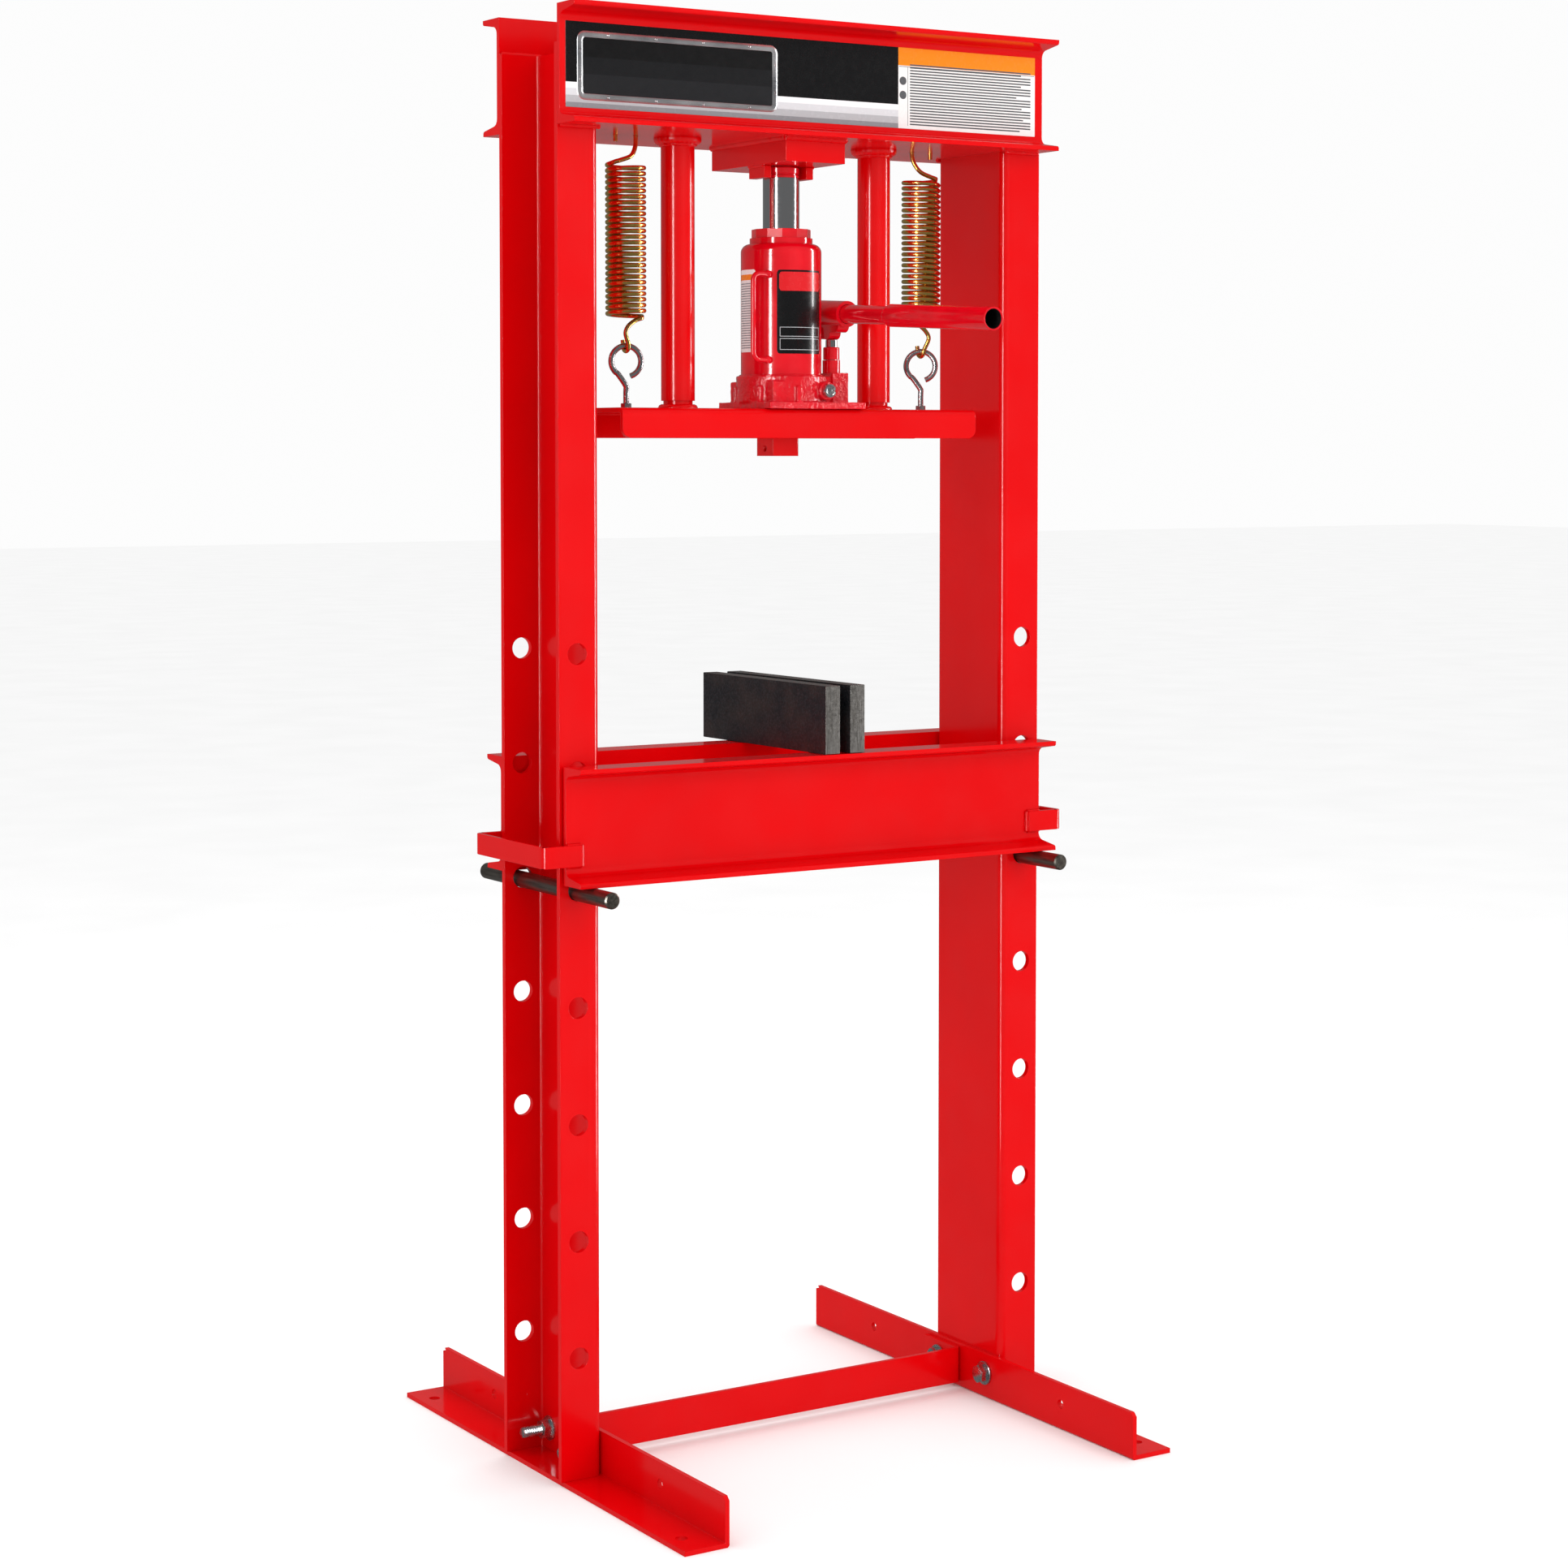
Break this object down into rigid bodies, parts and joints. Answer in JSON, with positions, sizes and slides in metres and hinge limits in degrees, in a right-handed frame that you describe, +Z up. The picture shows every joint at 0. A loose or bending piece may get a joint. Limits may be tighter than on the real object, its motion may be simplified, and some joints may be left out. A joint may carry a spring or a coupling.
{
  "type": "hydraulic shop press",
  "caption": "H-frame shop press: bottle jack on a spring-returned guided carriage pushes down on work laid on a height-adjustable channel bed.",
  "frame": {"origin": "middle of the footprint, on the floor", "axes": "+X to the operator's right along the beam, +Y away from the operator, +Z up"},
  "size_m": [0.65, 0.61, 1.502],
  "materials": {
    "red_paint": "gloss",
    "cast_paint": "gloss paint over a rough casting",
    "zinc_plate": "bright zinc",
    "yellow_zinc": "yellow passivated zinc",
    "ground_steel": "ground and polished",
    "pin_steel": "turned bar",
    "plate_steel": "mill scale faces, sawn ends",
    "plug_rubber": "matt"
  },
  "bodies": {
    "frame": {"upright_left": "red_paint", "upright_right": "red_paint", "beam_front": "red_paint", "beam_back": "red_paint", "head_plate": "red_paint", "bolster_block": "red_paint", "saddle_ears": "red_paint", "guide_tube_left": "red_paint", "guide_tube_right": "red_paint", "spring_left": "yellow_zinc", "spring_right": "yellow_zinc", "foot_left": "red_paint", "foot_right": "red_paint", "brace": "red_paint", "foot_bolts": "zinc_plate", "foot_nuts": "zinc_plate"},
    "carriage": {"guide_inner_left": "red_paint", "guide_inner_right": "red_paint", "carriage": "red_paint", "ram_socket": "red_paint", "eye_bolt_left": "zinc_plate", "eye_bolt_right": "zinc_plate", "eye_nuts": "zinc_plate", "jack_base": "cast_paint", "jack_tank": "red_paint", "packing_ring": "red_paint", "top_nut": "red_paint", "carry_handle": "red_paint", "pump_cylinder": "red_paint", "pump_links": "red_paint", "pivot_pin": "zinc_plate", "filler_plug": "plug_rubber"},
    "ram": {"jack_ram": "ground_steel", "saddle_cap": "red_paint"},
    "lever": {"handle_socket": "red_paint"},
    "handle": {"handle_tube": "red_paint"},
    "plunger": {"pump_plunger": "ground_steel"},
    "valve": {"release_valve": "zinc_plate"},
    "bed": {"bed_front": "red_paint", "bed_back": "red_paint", "strap_left": "red_paint", "strap_right": "red_paint"},
    "pin_left": {"pin_left": "pin_steel"},
    "pin_right": {"pin_right": "pin_steel"},
    "arbor_left": {"arbor_plate_left": "plate_steel"},
    "arbor_right": {"arbor_plate_right": "plate_steel"}
  },
  "joints": [
    {"name": "carriage_slide", "type": "slide", "parent": "frame", "child": "carriage", "axis": [0, 0, -1], "range_m": [0, 0.095], "stiffness_N_per_m": 2400, "springref_m": -0.09, "deforming": ["spring_left", "spring_right"]},
    {"name": "ram_slide", "type": "slide", "parent": "carriage", "child": "ram", "axis": [0, 0, 1], "range_m": [0, 0.095]},
    {"name": "lever_hinge", "type": "hinge", "parent": "carriage", "child": "lever", "pos_m": [0.064, 0.009, 1.184], "axis": [-1, 0, 0], "range_deg": [0, 45]},
    {"name": "plunger_slide", "type": "slide", "parent": "carriage", "child": "plunger", "axis": [0, 0, 1], "range_m": [0, 0.0116]},
    {"name": "handle_pull", "type": "slide", "parent": "lever", "child": "handle", "axis": [0, -0.9986, -0.0523], "range_m": [0, 0.12]},
    {"name": "valve_turn", "type": "hinge", "parent": "carriage", "child": "valve", "pos_m": [0.027, -0.055, 1.119], "axis": [0, -1, 0], "range_deg": [0, 270]},
    {"name": "bed_lift", "type": "slide", "parent": "frame", "child": "bed", "axis": [0, 0, 1], "range_m": [0, 0.12]},
    {"name": "pin_left_pull", "type": "slide", "parent": "frame", "child": "pin_left", "axis": [0, -1, 0], "range_m": [0, 0.28]},
    {"name": "pin_right_pull", "type": "slide", "parent": "frame", "child": "pin_right", "axis": [0, -1, 0], "range_m": [0, 0.28]},
    {"name": "arbor_left_slide", "type": "slide", "parent": "bed", "child": "arbor_left", "axis": [-1, 0, 0], "range_m": [0, 0.2]},
    {"name": "arbor_right_slide", "type": "slide", "parent": "bed", "child": "arbor_right", "axis": [1, 0, 0], "range_m": [0, 0.18]}
  ],
  "couplings": [
    {"joint": "ram_slide", "follows": "carriage_slide", "ratio": 1},
    {"joint": "plunger_slide", "follows": "lever_hinge", "m_per_rad": 0.0145}
  ]
}
